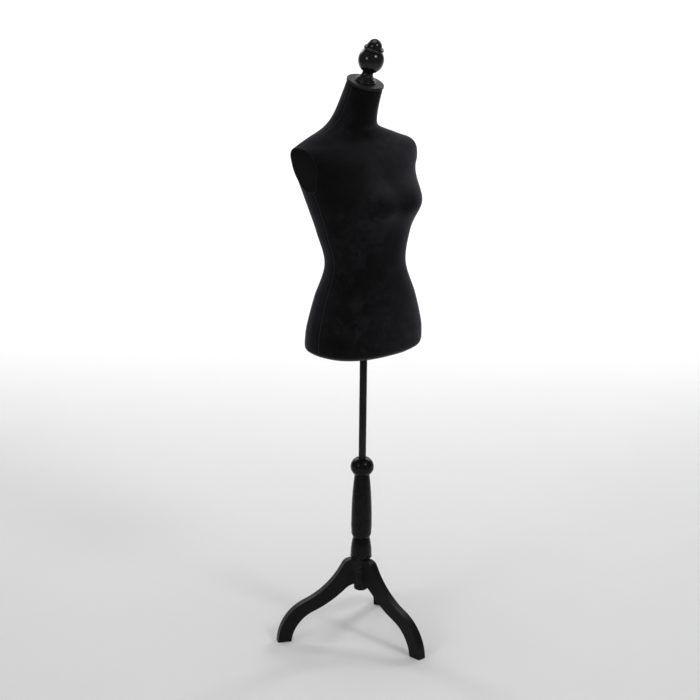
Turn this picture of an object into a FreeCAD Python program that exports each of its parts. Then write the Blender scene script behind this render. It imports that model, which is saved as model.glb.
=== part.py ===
import FreeCAD, Part
import math
import os

import Sketcher
from FreeCAD import Placement, Rotation, Vector

# A dress form: a velvet-covered female torso that turns on a steel pole, and a turned wooden
# column on three legs in which the pole slides and is clamped.
# Millimetres. +Z is up, the torso faces -Y, and z = 0 is the floor under the feet.
# The pole's axis stands at x = 0, y = axis_y, so that the origin is the middle of the whole
# object's footprint.

# ---------------------------------------------------------------- driving dimensions

STAND_DIMENSIONS = (
    ("axis_y", 50, "pole axis behind the middle of the footprint"),
    ("pole_radius", 10, "steel pole, outside"),
    ("pole_wall", 1.2, "steel pole, wall"),
    ("pole_bottom", 420, "lower end of the pole at the height shown"),
    ("pole_top", 937, "upper end of the pole"),
    ("plug_flange", 3, "flange of each pole plug"),
    ("plug_radius", 9.6, "radius of that flange"),
    ("plug_depth", 15, "how far each plug goes into the pole"),
    ("running_gap", 0.08, "radial clearance of the pole in its guide and socket"),
    ("glue_gap", 0.05, "radial clearance of pieces that are glued or screwed in"),
    ("cutter_run", 2, "how far a cutter runs past what it cuts"),
    ("hub_radius", 19, "hub that the legs join"),
    ("hub_bottom", 132, "underside of the hub"),
    ("hub_top", 226, "top of the hub, where the column starts"),
    ("hub_round", 4, "rounding of the hub's lower edge"),
    ("ring_face", 27.5, "flat faces of the ring at the foot of the column, radius"),
    ("ring_curve", 4.1, "roundness of the ring"),
    ("ring_top", 233, "top of the ring"),
    ("groove_radius", 27.4, "groove above the ring"),
    ("vase_bottom", 236.5, "foot of the short vase above the ring"),
    ("vase_radius", 28.6, "widest part of the vase"),
    ("vase_curve", 190, "curve of the vase's side"),
    ("waist_height", 284, "narrow waist between vase and shaft"),
    ("waist_radius", 22.2, "radius at that waist"),
    ("turn_height", 301, "lower shoulder of the shaft"),
    ("turn_radius", 27, "radius at that shoulder"),
    ("turn_curve", 24, "curve of that shoulder"),
    ("shaft_height", 331, "widest part of the shaft"),
    ("shaft_radius", 27.9, "radius there"),
    ("shaft_curve", 180, "curve below the widest part"),
    ("taper_curve", 1150, "long curve of the shaft above it"),
    ("bead_bottom", 463, "underside of the bead"),
    ("bead_neck", 20.2, "radius under the bead"),
    ("bead_top", 509, "top of the column"),
    ("bead_mouth", 17.5, "radius of the column's flat top"),
    ("bead_curve", 27.4, "curve of the bead"),
    ("column_bore", 10.8, "bore in the column for the pole"),
    ("bore_bottom", 270, "bottom of that bore"),
    ("sleeve_radius", 13, "guide sleeve, outside"),
    ("sleeve_length", 60, "guide sleeve, length"),
    ("stud_radius", 5, "screw that joins hub and column"),
    ("stud_bottom", 207, "lower end of that screw"),
    ("stud_top", 262, "upper end of that screw"),
    ("stud_play", 1, "gap past each end of a stud"),
    ("leg_reach", 234, "front of a foot from the pole's axis"),
    ("foot_width", 37, "length of a foot on the floor"),
    ("leg_thickness", 24, "thickness of a leg board"),
    ("leg_overlap", 4, "how far a board runs into the hub before it is coped"),
    ("leg_top", 223, "top corner of a leg"),
    ("leg_top_reach", 29, "where a leg's top corner starts to round"),
    ("leg_crook", 51.5, "where the rounded top corner ends"),
    ("leg_crook_height", 209.5, "height there"),
    ("leg_crook_curve", 25.5, "rounding of the top corner"),
    ("leg_mid", 158, "where the outer edge turns from hollow to round"),
    ("leg_mid_height", 112, "height there"),
    ("leg_hollow_curve", 220, "hollow stretch of the outer edge"),
    ("leg_round_curve", 126, "round stretch of the outer edge"),
    ("under_height", 152, "where a leg's underside meets the hub"),
    ("under_start", 21, "end of the underside's level stretch at the hub"),
    ("under_first", 47.5, "end of the first round stretch of the underside"),
    ("under_first_height", 138.5, "height there"),
    ("under_first_curve", 55, "curve of that stretch"),
    ("under_second", 134.5, "end of the hollow stretch of the underside"),
    ("under_second_height", 82.5, "height there"),
    ("under_second_curve", 298, "curve of that stretch"),
    ("under_last_curve", 103, "last round stretch of the underside"),
    ("leg_arris", 1.5, "rounding along a leg's long edges"),
    ("bolt_height", 175, "height of the lowest leg bolt"),
    ("bolt_step", 12, "height from one leg bolt to the next"),
    ("bolt_radius", 3, "leg bolt shank"),
    ("bolt_reach", 52, "end of a leg bolt from the axis"),
    ("bolt_head_radius", 5, "leg bolt head"),
    ("bolt_head_depth", 3, "leg bolt head, thickness"),
    ("bolt_sink", 1, "leg bolt head below the hub's face"),
    ("bolt_drive", 2.1, "socket in a leg bolt's head, radius"),
    ("bolt_drive_depth", 2, "depth of that socket"),
    ("nut_radius", 5, "barrel nut"),
    ("nut_length", 18, "barrel nut, length"),
    ("nut_reach", 45, "barrel nut from the axis"),
    ("dowel_radius", 4, "wooden dowel of a leg"),
    ("dowel_start", 10, "inner end of a dowel from the axis"),
    ("dowel_end", 36, "outer end of a dowel from the axis"),
    ("dowel_low", 161.5, "height of the lower dowel"),
    ("dowel_high", 211.5, "height of the upper dowel"),
    ("clamp_height", 485, "clamp screw, in the middle of the bead"),
    ("clamp_angle", 30, "clamp screw's direction, from +X towards +Y"),
    ("clamp_radius", 4, "clamp screw"),
    ("clamp_gap", 0.06, "radial clearance of the clamp screw's thread"),
    ("insert_radius", 6, "threaded insert in the bead"),
    ("insert_start", 14, "inner end of the insert from the axis"),
    ("insert_end", 29.5, "outer end of the insert"),
    ("pad_start", 10.1, "face of the pressure pad that bears on the pole"),
    ("pad_end", 14, "back of the pressure pad"),
    ("window_gap", 0.4, "clearance round the pad in the sleeve"),
    ("screw_end", 40, "outer end of the clamp screw from the axis"),
    ("knob_start", 31.6, "inner face of the knob from the axis"),
    ("knob_end", 44, "outer face of the knob"),
    ("knob_radius", 11.5, "knob"),
    ("knob_flute", 3, "radius of each finger flute in the knob"),
    ("knob_flutes", 7, "number of finger flutes"),
    ("flute_circle", 13.15, "middles of the finger flutes from the knob's axis"),
    ("knob_edge", 1.2, "rounding of the knob's edges"),
)

TORSO_DIMENSIONS = (
    ("cover", 1.5, "thickness of the velvet cover"),
    ("cover_gap", 0.6, "gap between the cover and the shell"),
    ("overrun", 8, "how far the forms run past hem and neck before they are trimmed"),
    ("wall", 3.5, "thickness of the moulded shell"),
    ("bust_projection", 36, "how far the bust stands out"),
    ("apex_height", 1216, "height of the bust apex"),
    ("bust_width", 128, "how far the bust reaches from the middle"),
    ("bust_valley", 0.22, "share of the projection lost between the apexes"),
    ("bust_valley_width", 38, "spread of the valley between the apexes"),
    ("bust_rise", 52, "spread of the bust up and down"),
    ("arm_x", 178, "arm plate plane from the middle, at arm_height"),
    ("arm_height", 1290, "height at which arm_x is measured"),
    ("arm_lean", 7.4, "lean of the arm plates, top outwards"),
    ("arm_cut_depth", 95, "how far below arm_height the arm's cut may reach"),
    ("arm_plate", 4, "thickness of an arm plate"),
    ("arm_rim", 3.5, "width of its raised rim"),
    ("arm_recess", 1.6, "depth inside the rim"),
    ("board_rise", 7, "underside of the base board above the hem"),
    ("board_thickness", 12, "base board"),
    ("board_gap", 0.5, "gap between board and shell"),
    ("board_bore_gap", 0.1, "gap round the socket tube in board and shell"),
    ("neck_plug_radius", 40, "wooden plug in the neck"),
    ("neck_plug_depth", 16, "its thickness"),
    ("neck_plug_gap", 0.1, "gap between the plug and the shell's closed neck"),
    ("cap_radius", 49, "neck cap disc"),
    ("cap_thickness", 7, "neck cap disc"),
    ("cap_round", 2.6, "rounding of the cap's rim"),
    ("cap_bevel", 1, "bevel round the cap's underside"),
    ("moulding_radius", 27.5, "widest step of the stepped moulding"),
    ("moulding_step", 5, "height of its lowest step"),
    ("moulding_round", 2.5, "rounding of that step"),
    ("moulding_second", 23, "radius of its second step"),
    ("moulding_second_top", 9.5, "top of its second step"),
    ("moulding_second_round", 2.2, "rounding of the second step"),
    ("moulding_third", 18.6, "radius of its third step"),
    ("moulding_third_top", 14, "top of its third step"),
    ("moulding_third_round", 2, "rounding of the third step"),
    ("moulding_top", 18, "top of the moulding"),
    ("finial_neck", 14, "narrow neck of the finial"),
    ("finial_flare", 15.6, "foot of the finial"),
    ("neck_end", 24, "top of that neck above the cap"),
    ("cove_curve", 9, "hollow between neck and ball"),
    ("ball_start", 29, "where the ball starts"),
    ("ball_start_radius", 19, "radius there"),
    ("ball_height", 57, "widest part of the ball above the cap"),
    ("ball_radius", 33, "ball"),
    ("ball_low_curve", 35, "curve of the ball's lower half"),
    ("ball_high_curve", 34, "curve of the ball's upper half"),
    ("ball_end", 84, "top of the ball above the cap"),
    ("ball_end_radius", 21.5, "radius there"),
    ("collar_face", 24, "flat faces of the collar ring, radius"),
    ("collar_curve", 3.8, "roundness of the collar ring"),
    ("collar_top", 91, "top of the collar above the cap"),
    ("dome_radius", 19.5, "little dome on the collar"),
    ("dome_curve", 21, "curve of that dome"),
    ("finial_top", 113, "top of the finial above the cap"),
    ("finial_tip", 2, "small flat on the tip"),
    ("finial_stud_radius", 4, "double-ended screw under the finial"),
    ("finial_stud_low", 14, "how far it goes below the cap's underside"),
    ("finial_stud_high", 48, "its upper end above the cap"),
    ("cap_screw_circle", 17, "cap screws from the neck's axis"),
    ("cap_screw_radius", 2, "cap screw shank"),
    ("cap_screw_head", 4, "cap screw head"),
    ("cap_screw_length", 15, "cap screw, with its head"),
    ("cap_screw_sink", 0.2, "cap screw head below the cap's face"),
    ("cap_screw_play", 0.3, "room above and below a cap screw"),
    ("socket_wall", 2.4, "socket tube"),
    ("flange_radius", 36, "flange under the torso"),
    ("flange_thickness", 2.5, "flange"),
    ("flange_circle", 27, "flange screws from the pole's axis"),
    ("flange_screw_radius", 2, "flange screw shank"),
    ("flange_screw_head", 4, "flange screw head"),
    ("flange_head_height", 2, "flange screw head"),
    ("flange_screw_length", 13, "flange screw below its head"),
    ("pad_thickness", 4, "thrust pad on which the torso turns"),
    ("thrust_gap", 0.1, "gap over the pole's top plug"),
)

# The torso's girths, from the hem up: height, half width, half depth, middle behind the pole's
# axis, squareness of the outline (2 is an ellipse) and forward lean in degrees.
STATION_COLUMNS = ("height", "half_width", "half_depth", "middle", "squareness", "lean")
STATIONS = (
    ("hem", 814, 146, 105, 6, 2.5, 0),
    ("hem_turn", 827, 164, 117, 2, 2.5, 0),
    ("seat", 855, 167, 117, 0, 2.5, 0),
    ("hips", 890, 164, 114, -1, 2.45, 0),
    ("belly", 960, 146, 105, -2, 2.3, 0),
    ("waistline", 1046, 116, 90, -2, 2.15, 0),
    ("ribs", 1130, 133, 101, 6, 2.2, 0),
    ("bust", 1215, 162, 115, 12, 2.3, 0),
    ("chest", 1275, 183, 96, 31, 2.4, 0),
    ("armhole", 1315, 201, 84, 37, 2.4, 0),
    ("shoulder", 1344, 212, 67, 44, 2.3, 0),
    ("shoulder_top", 1367, 160, 58, 57, 2.1, 0),
    ("neck_root", 1392, 92, 53, 53, 2, 6),
    ("neck_base", 1418, 61, 54, 42, 2, 12),
    ("neck_middle", 1460, 51, 50, 26, 2, 17),
    ("neck_top", 1508, 47, 47, 7, 2, 18.5),
)
RING_POINTS = 36
RINGS_PER_STATION = 3
# Reach of the blocks that cut the torso flat at its arms, hem and neck.
FAR = 400
FLANGE_SCREW_ANGLES = (45, 135, 225, 315)
CAP_SCREW_ANGLES = (90, 210, 330)

# Each leg's name, its direction in degrees from +X, and the level of its bolt.
LEGS = (("leg_front", 270, 0), ("leg_left", 30, 1), ("leg_right", 150, 2))

UP = Vector(0, 0, 1)
doc = FreeCAD.newDocument("dress_form")
sheet = doc.addObject("Spreadsheet::Sheet", "Sizes")


def fill_sheet():
    """Writes every driving dimension into the sheet, one row each, with its alias."""
    rows = list(STAND_DIMENSIONS) + list(TORSO_DIMENSIONS)
    for name, *numbers in STATIONS:
        for column, number in zip(STATION_COLUMNS, numbers):
            rows.append((f"{name}_{column}", number, f"torso outline at the {name}"))
    for row, (alias, number, meaning) in enumerate(rows, start=1):
        sheet.set(f"A{row}", meaning)
        sheet.set(f"B{row}", str(number))
        sheet.setAlias(f"B{row}", alias)
    doc.recompute()


def size(alias):
    """A driving dimension's value, read from the sheet."""
    return float(getattr(sheet, alias))


def cells(text):
    """An expression on the sheet's cells, from one written with bare aliases in braces."""
    return text.replace("{", "Sizes.").replace("}", "")


def number(text):
    """The value that such an expression has now."""
    return float(sheet.evalExpression(cells(text)))


def bind(thing, prop, text):
    thing.setExpression(prop, cells(text))


# ---------------------------------------------------------------- building blocks


def on_axis(z="0"):
    """Places a piece on the pole's axis."""
    return ("0", "{axis_y}", z)


def place(thing, at, rotation=None):
    """Puts a piece at a point given by expressions, turned as asked."""
    x, y, z = (number(part) for part in at)
    thing.Placement = Placement(Vector(x, y, z), rotation or Rotation())
    for axis, part in zip("xyz", at):
        bind(thing, f"Placement.Base.{axis}", part)


def cylinder(name, radius, height, at, rotation=None):
    piece = doc.addObject("Part::Cylinder", name)
    bind(piece, "Radius", radius)
    bind(piece, "Height", height)
    place(piece, at, rotation)
    return piece


def fuse(name, pieces):
    joined = doc.addObject("Part::MultiFuse", name)
    joined.Shapes = pieces
    return joined


def carve(name, solid, tools):
    """The solid with every tool cut out of it."""
    cut = doc.addObject("Part::Cut", name)
    cut.Base = solid
    cut.Tool = tools[0] if len(tools) == 1 else fuse(name + "_tools", tools)
    return cut


def tube(name, outer, inner, height, at):
    outside = cylinder(name + "_outside", outer, height, at)
    inside = cylinder(name + "_inside", inner, height, at)
    return carve(name, outside, [inside])


def group(name, pieces):
    """Several like pieces in one node, as separate solids."""
    compound = doc.addObject("Part::Compound", name)
    compound.Links = pieces
    return compound


def sketch_on(body, name, role):
    """A sketch on one of the body's own origin planes."""
    plane = next(item for item in body.Origin.OriginFeatures if item.Role == role)
    sketch = body.newObject("Sketcher::SketchObject", name)
    sketch.AttachmentSupport = (plane, [""])
    sketch.MapMode = "FlatFace"
    return sketch


def arc_between(start, end, radius, side):
    """The short arc from start to end, and the geometry's own index of each of those ends.

    side is 1 where the arc's centre lies to the left of the way from start to end, or -1.
    """
    middle = (start + end) * 0.5
    way = end - start
    half = way.Length / 2
    left = Vector(-way.y, way.x, 0).normalize()
    centre = middle + left * (side * math.sqrt(max(radius * radius - half * half, 0)))
    angles = [math.atan2(p.y - centre.y, p.x - centre.x) for p in (start, end)]
    if side < 0:
        angles.reverse()
    if angles[1] < angles[0]:
        angles[1] += 2 * math.pi
    circle = Part.Circle(centre, UP, radius)
    return Part.ArcOfCircle(circle, *angles), (1, 2) if side > 0 else (2, 1)


def draw(sketch, corners):
    """Draws a closed outline whose corners and arc radii are bound to the sheet.

    Each corner is (across, up), or (across, up, radius, side) where an arc leads to the next.
    A fifth entry marks a smooth corner: the two edges are tangent there, and only the
    coordinates that it names are fixed.
    """
    points = [Vector(number(corner[0]), number(corner[1]), 0) for corner in corners]
    ends = []
    for index, corner in enumerate(corners):
        start, end = points[index], points[(index + 1) % len(points)]
        if len(corner) == 2 or corner[2] is None:
            edge = sketch.addGeometry(Part.LineSegment(start, end))
            ends.append((edge, 1, 2))
        else:
            arc, (first, last) = arc_between(start, end, number(corner[2]), corner[3])
            edge = sketch.addGeometry(arc)
            ends.append((edge, first, last))
            hold(sketch, f"radius_{index}", corner[2], "Radius", edge)
    for index, corner in enumerate(corners):
        before, here = ends[index - 1], ends[index]
        smooth = len(corner) == 5
        kind = "Tangent" if smooth else "Coincident"
        sketch.addConstraint(Sketcher.Constraint(kind, before[0], before[2], here[0], here[1]))
        fixed = corner[4] if smooth else "xy"
        for axis, text in zip("xy", corner):
            if axis in fixed:
                name = f"{axis}_{index}"
                hold(sketch, name, text, "Distance" + axis.upper(), -1, 1, here[0], here[1])


def hold(sketch, name, text, kind, *where):
    """Adds a sketch dimension and binds it to an expression."""
    row = sketch.addConstraint(Sketcher.Constraint(kind, *where, number(text)))
    sketch.renameConstraint(row, name)
    bind(sketch, f"Constraints.{name}", text)


def turned(name, corners, at, rotation=None):
    """A piece turned about its own Z axis from a half outline (radius, height)."""
    body = doc.addObject("PartDesign::Body", name)
    sketch = sketch_on(body, name + "_outline", "XZ_Plane")
    draw(sketch, corners)
    doc.recompute()
    turn = body.newObject("PartDesign::Revolution", name + "_turning")
    turn.Profile = sketch
    turn.ReferenceAxis = (sketch, ["V_Axis"])
    turn.Angle = 360
    body.Tip = turn
    place(body, at, rotation)
    return body


# ---------------------------------------------------------------- stand


def make_column():
    """The turned column: ring, vase, long shaft and bead, bored for pole and sleeve."""
    outline = [
        ("{stud_radius}", "{hub_top}"),
        ("{ring_face}", "{hub_top}", "{ring_curve}", 1),
        ("{ring_face}", "{ring_top}"),
        ("{groove_radius}", "{ring_top}"),
        ("{groove_radius}", "{vase_bottom}"),
        ("{vase_radius}", "{vase_bottom}", "{vase_curve}", 1),
        ("{waist_radius}", "{waist_height}", "{turn_curve}", 1),
        ("{turn_radius}", "{turn_height}", "{shaft_curve}", 1),
        ("{shaft_radius}", "{shaft_height}", "{taper_curve}", 1),
        ("{bead_neck}", "{bead_bottom}", "{bead_curve}", 1),
        ("{bead_mouth}", "{bead_top}"),
        ("{sleeve_radius} + {glue_gap}", "{bead_top}"),
        ("{sleeve_radius} + {glue_gap}", "{bead_top} - {sleeve_length}"),
        ("{column_bore}", "{bead_top} - {sleeve_length}"),
        ("{column_bore}", "{bore_bottom}"),
        ("0", "{bore_bottom}"),
        ("0", "{stud_top}"),
        ("{stud_radius}", "{stud_top}"),
    ]
    blank = turned("column_blank", outline, on_axis())
    hole = along_clamp(
        "column_insert_hole", "{insert_radius} + {glue_gap}", "{pole_radius}", "{knob_start}"
    )
    return carve("column", blank, [hole])


def clamp_rotation():
    """Turns a cylinder's axis into the clamp screw's direction."""
    return Rotation(UP, size("clamp_angle")) * Rotation(Vector(0, 1, 0), 90)


def along_clamp(name, radius, start, end):
    """A cylinder on the clamp screw's line, between two distances from the pole's axis."""
    at = (
        f"({start}) * cos({{clamp_angle}} * 1deg)",
        f"{{axis_y}} + ({start}) * sin({{clamp_angle}} * 1deg)",
        "{clamp_height}",
    )
    return cylinder(name, radius, f"{end} - ({start})", at, clamp_rotation())


def make_clamp():
    """The clamp: threaded insert, pressure pad, screw and fluted knob."""
    insert = carve(
        "clamp_insert",
        along_clamp("insert_body", "{insert_radius}", "{insert_start}", "{insert_end}"),
        [along_clamp("insert_thread", "{clamp_radius} + {clamp_gap}", "{pole_radius}", "{knob_start}")],
    )
    pad = along_clamp("clamp_pad", "{clamp_radius}", "{pad_start}", "{pad_end}")
    screw = along_clamp("clamp_screw", "{clamp_radius}", "{pad_end}", "{screw_end}")
    disc = along_clamp("knob_disc", "{knob_radius}", "{knob_start}", "{knob_end}")
    rounded = doc.addObject("Part::Fillet", "knob_rounded")
    rounded.Base = disc
    edge = size("knob_edge")
    rounded.Edges = [(1, edge, edge), (3, edge, edge)]
    tools = [along_clamp("knob_bore", "{clamp_radius} + {glue_gap}", "{pole_radius}", "{screw_end}")]
    count = int(size("knob_flutes"))
    for index in range(count):
        flute = along_clamp(
            f"knob_flute_{index}",
            "{knob_flute}",
            "{knob_start} - {cutter_run}",
            "{knob_end} + {cutter_run}",
        )
        turn = 2 * math.pi * index / count
        outward = clamp_rotation().multVec(Vector(math.cos(turn), math.sin(turn), 0))
        for axis in "xyz":
            flute.setExpression(f"Placement.Base.{axis}", None)
        middle = flute.Placement.Base + outward * size("flute_circle")
        flute.Placement = Placement(middle, clamp_rotation())
        tools.append(flute)
    knob = carve("clamp_knob", rounded, tools)
    return [insert, pad, screw, knob]


def make_sleeve():
    """The guide sleeve in the column's mouth, with a window for the pressure pad."""
    ring = tube(
        "sleeve_ring",
        "{sleeve_radius}",
        "{pole_radius} + {running_gap}",
        "{sleeve_length}",
        on_axis("{bead_top} - {sleeve_length}"),
    )
    window = along_clamp("sleeve_window", "{clamp_radius} + {window_gap}", "0", "{insert_start}")
    return carve("guide_sleeve", ring, [window])


def make_pole():
    """The pole and the plugs in its two ends."""
    length = "{pole_top} - {pole_bottom}"
    bore = "{pole_radius} - {pole_wall}"
    pole = tube("pole", "{pole_radius}", bore, length, on_axis("{pole_bottom}"))
    plugs = []
    ends = (
        ("pole_top_plug", "{pole_top} - {plug_depth}", "{pole_top}"),
        ("pole_bottom_plug", "{pole_bottom}", "{pole_bottom} - {plug_flange}"),
    )
    for name, stem_at, flange_at in ends:
        stem = cylinder(name + "_stem", bore + " - {glue_gap}", "{plug_depth}", on_axis(stem_at))
        flange = cylinder(name + "_flange", "{plug_radius}", "{plug_flange}", on_axis(flange_at))
        plugs.append(fuse(name, [stem, flange]))
    return [pole, *plugs]


def leg_turn(angle):
    return Rotation(UP, angle)


def radial(name, radius, start, end, height, angle):
    """A cylinder that points outwards at an angle, between two distances from the axis."""
    at = (
        f"({start}) * cos({angle}deg)",
        f"{{axis_y}} + ({start}) * sin({angle}deg)",
        height,
    )
    turn = leg_turn(angle) * Rotation(Vector(0, 1, 0), 90)
    return cylinder(name, radius, f"{end} - ({start})", at, turn)


def bolt_level(level):
    return f"{{bolt_height}} + {level} * {{bolt_step}}"


def bolt_pieces(name, angle, level, gap="0", deeper="0"):
    """A leg bolt's shank and head, or with a gap the hole and counterbore for it."""
    height = bolt_level(level)
    head_back = "{hub_radius} - {bolt_sink}"
    shank = radial(
        name + "_shank",
        "{bolt_radius} + " + gap,
        "-(" + head_back + " - {bolt_head_depth})",
        "{bolt_reach} + " + deeper,
        height,
        angle,
    )
    head = radial(
        name + "_head",
        "{bolt_head_radius} + " + gap,
        "-(" + head_back + " + " + deeper + ")",
        "-(" + head_back + " - {bolt_head_depth})",
        height,
        angle,
    )
    return [shank, head]


def barrel_nut(name, angle, level, gap):
    """A barrel nut across a leg, or with a gap the hole for it."""
    length = "{nut_length} + 2 * " + gap
    radians = math.radians(angle)
    across = Vector(-math.sin(radians), math.cos(radians), 0)
    at = (
        f"{{nut_reach}} * cos({angle}deg) - ({across.x}) * ({length}) / 2",
        f"{{axis_y}} + {{nut_reach}} * sin({angle}deg) - ({across.y}) * ({length}) / 2",
        bolt_level(level),
    )
    turn = leg_turn(angle) * Rotation(Vector(1, 0, 0), -90)
    return cylinder(name, "{nut_radius} + " + gap, length, at, turn)


def dowel(name, angle, height, gap):
    return radial(name, "{dowel_radius} + " + gap, "{dowel_start} - " + gap,
                  "{dowel_end} + " + gap, height, angle)


def make_leg(name, angle, level):
    """An S-curved board, coped to the hub, with holes for bolt, barrel nut and dowels."""
    body = doc.addObject("PartDesign::Body", name + "_board")
    sketch = sketch_on(body, name + "_outline", "XZ_Plane")
    inner = "{hub_radius} - {leg_overlap}"
    outline = [
        (inner, "{under_height}"),
        ("{under_start}", "{under_height}", "{under_first_curve}", -1),
        ("{under_first}", "{under_first_height}", "{under_second_curve}", 1, "x"),
        ("{under_second}", "{under_second_height}", "{under_last_curve}", -1, "x"),
        ("{leg_reach} - {foot_width}", "0"),
        ("{leg_reach}", "0", "{leg_round_curve}", 1),
        ("{leg_mid}", "{leg_mid_height}", "{leg_hollow_curve}", -1, "x"),
        ("{leg_crook}", "{leg_crook_height}", "{leg_crook_curve}", 1, ""),
        ("{leg_top_reach}", "{leg_top}", None, 0, "xy"),
        (inner, "{leg_top}"),
    ]
    draw(sketch, outline)
    doc.recompute()
    pad = body.newObject("PartDesign::Pad", name + "_pad")
    pad.Profile = sketch
    pad.SideType = "Symmetric"
    bind(pad, "Length", "{leg_thickness}")
    body.Tip = pad
    doc.recompute()
    arris = body.newObject("PartDesign::Fillet", name + "_arris")
    arris.Base = (pad, curved_edges(pad.Shape))
    bind(arris, "Radius", "{leg_arris}")
    body.Tip = arris
    place(body, on_axis(), leg_turn(angle))
    hub = cylinder(name + "_cope", "{hub_radius}", "{leg_top} + {cutter_run}", on_axis())
    holes = bolt_pieces(name + "_bolt_hole", angle, level, "{glue_gap}", "{cutter_run}")[:1]
    holes.append(barrel_nut(name + "_nut_hole", angle, level, "{glue_gap}"))
    for end, height in (("low", "{dowel_low}"), ("high", "{dowel_high}")):
        holes.append(dowel(f"{name}_dowel_hole_{end}", angle, height, "{glue_gap}"))
    return carve(name, body, [hub, *holes])


def curved_edges(shape):
    """The names of the long curved edges on the board's two faces."""
    return [
        f"Edge{index}"
        for index, edge in enumerate(shape.Edges, start=1)
        if isinstance(edge.Curve, Part.Circle)
    ]


def make_hub():
    """The hub under the column, with every hole that the legs' fittings need."""
    outline = [
        ("0", "{hub_bottom}"),
        ("{hub_radius} - {hub_round}", "{hub_bottom}", "{hub_round}", 1),
        ("{hub_radius}", "{hub_bottom} + {hub_round}"),
        ("{hub_radius}", "{hub_top}"),
        ("{stud_radius}", "{hub_top}"),
        ("{stud_radius}", "{stud_bottom}"),
        ("0", "{stud_bottom}"),
    ]
    blank = turned("hub_blank", outline, on_axis())
    tools = []
    for name, angle, level in LEGS:
        tools += bolt_pieces("hub_hole_" + name, angle, level, "{glue_gap}", "{cutter_run}")
        for end, height in (("low", "{dowel_low}"), ("high", "{dowel_high}")):
            tools.append(dowel(f"hub_dowel_hole_{name}_{end}", angle, height, "{glue_gap}"))
    return carve("hub", blank, tools)


def make_fasteners():
    """The hub screw, and the bolts, barrel nuts and dowels of the legs."""
    stud = cylinder(
        "hub_stud",
        "{stud_radius} - {glue_gap}",
        "{stud_top} - {stud_bottom} - 2 * {stud_play}",
        on_axis("{stud_bottom} + {stud_play}"),
    )
    bolts, nuts, dowels = [], [], []
    for name, angle, level in LEGS:
        whole = fuse(name + "_bolt", bolt_pieces(name + "_bolt", angle, level))
        socket = radial(
            name + "_bolt_socket",
            "{bolt_drive}",
            "-{hub_radius}",
            "-({hub_radius} - {bolt_sink} - {bolt_drive_depth})",
            bolt_level(level),
            angle,
        )
        bolts.append(carve(name + "_bolt_with_socket", whole, [socket]))
        nut = barrel_nut(name + "_nut_body", angle, level, "0")
        thread = bolt_pieces(name + "_nut_thread", angle, level, "{glue_gap}", "{cutter_run}")[0]
        nuts.append(carve(name + "_nut", nut, [thread]))
        dowels.append(dowel(f"{name}_dowel_low", angle, "{dowel_low}", "0"))
        dowels.append(dowel(f"{name}_dowel_high", angle, "{dowel_high}", "0"))
    return [
        stud,
        group("leg_bolts", bolts),
        group("leg_barrel_nuts", nuts),
        group("leg_dowels", dowels),
    ]


# ---------------------------------------------------------------- torso


def station_value(column, position):
    """A station column's value at a position counted in stations, on a smooth curve."""
    last = len(STATIONS) - 1
    low = min(int(position), last - 1)
    share = position - low
    near = [min(max(low + step, 0), last) for step in (-1, 0, 1, 2)]
    before, start, end, after = (size(f"{STATIONS[i][0]}_{column}") for i in near)
    leaving = (end - before) / 2
    arriving = (after - start) / 2
    return (
        start
        + share * leaving
        + share**2 * (3 * (end - start) - 2 * leaving - arriving)
        + share**3 * (2 * (start - end) + leaving + arriving)
    )


def outline_point(position, angle):
    """A point of the torso's surface, at an angle in radians from the torso's left."""
    height, half_width, half_depth, middle, squareness, lean = (
        station_value(column, position) for column in STATION_COLUMNS
    )
    power = 2 / squareness
    across = half_width * math.copysign(abs(math.cos(angle)) ** power, math.cos(angle))
    deep = half_depth * math.copysign(abs(math.sin(angle)) ** power, math.sin(angle))
    if deep < 0:
        deep -= bust_bump(across, height) * math.sqrt(abs(math.sin(angle)))
    lean = math.radians(lean)
    y = size("axis_y") + middle + deep * math.cos(lean)
    return Vector(across, y, height + deep * math.sin(lean))


def bust_bump(across, height):
    """How far the bust stands out in front of the plain outline."""
    rise = math.exp(-(((height - size("apex_height")) / size("bust_rise")) ** 2))
    sides = math.exp(-((across / size("bust_width")) ** 4))
    valley = 1 - size("bust_valley") * math.exp(-((across / size("bust_valley_width")) ** 2))
    return size("bust_projection") * rise * sides * valley


def outline_normal(position, angle):
    """The outward normal of the torso's surface."""
    last = len(STATIONS) - 1
    step = 0.02
    around = outline_point(position, angle + step) - outline_point(position, angle - step)
    low, high = max(position - step, 0), min(position + step, last)
    rise = outline_point(high, angle) - outline_point(low, angle)
    normal = around.cross(rise).normalize()
    if position in (0, last):
        lean = math.radians(station_value("lean", position))
        axis = Vector(0, -math.sin(lean), math.cos(lean))
        normal = (normal - axis * normal.dot(axis)).normalize()
    return normal


def inset_points(position, inset, start):
    """Points of half the outline, moved inwards by the inset, half a turn on from an angle."""
    points = []
    for step in range(RING_POINTS // 2 + 1):
        angle = start + 2 * math.pi * step / RING_POINTS
        point = outline_point(position, angle)
        points.append(point - outline_normal(position, angle) * inset)
    return points


def outline_ring(position, inset):
    """The closed outline at a position, moved inwards by the inset, in a back and a front half."""
    back, front = (inset_points(position, inset, start) for start in (0, math.pi))
    front[0], front[-1] = back[-1], back[0]
    return Part.Wire([smooth_edge(back), smooth_edge(front)])


def smooth_edge(points):
    """One smooth edge through evenly counted points."""
    last = len(points) - 1
    curve = Part.BSplineCurve()
    curve.interpolate(Points=points, Parameters=[step / last for step in range(last + 1)])
    return curve.toShape()


def panel_section(position, start):
    """Half of the cover's section at a position, half a turn on from the starting angle."""
    outer = inset_points(position, 0, start)
    inner = inset_points(position, size("cover"), start)[::-1]
    ends = [Part.makeLine(outer[-1], inner[0]), Part.makeLine(inner[-1], outer[0])]
    return Part.Wire([smooth_edge(outer), ends[0], smooth_edge(inner), ends[1]])


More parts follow.
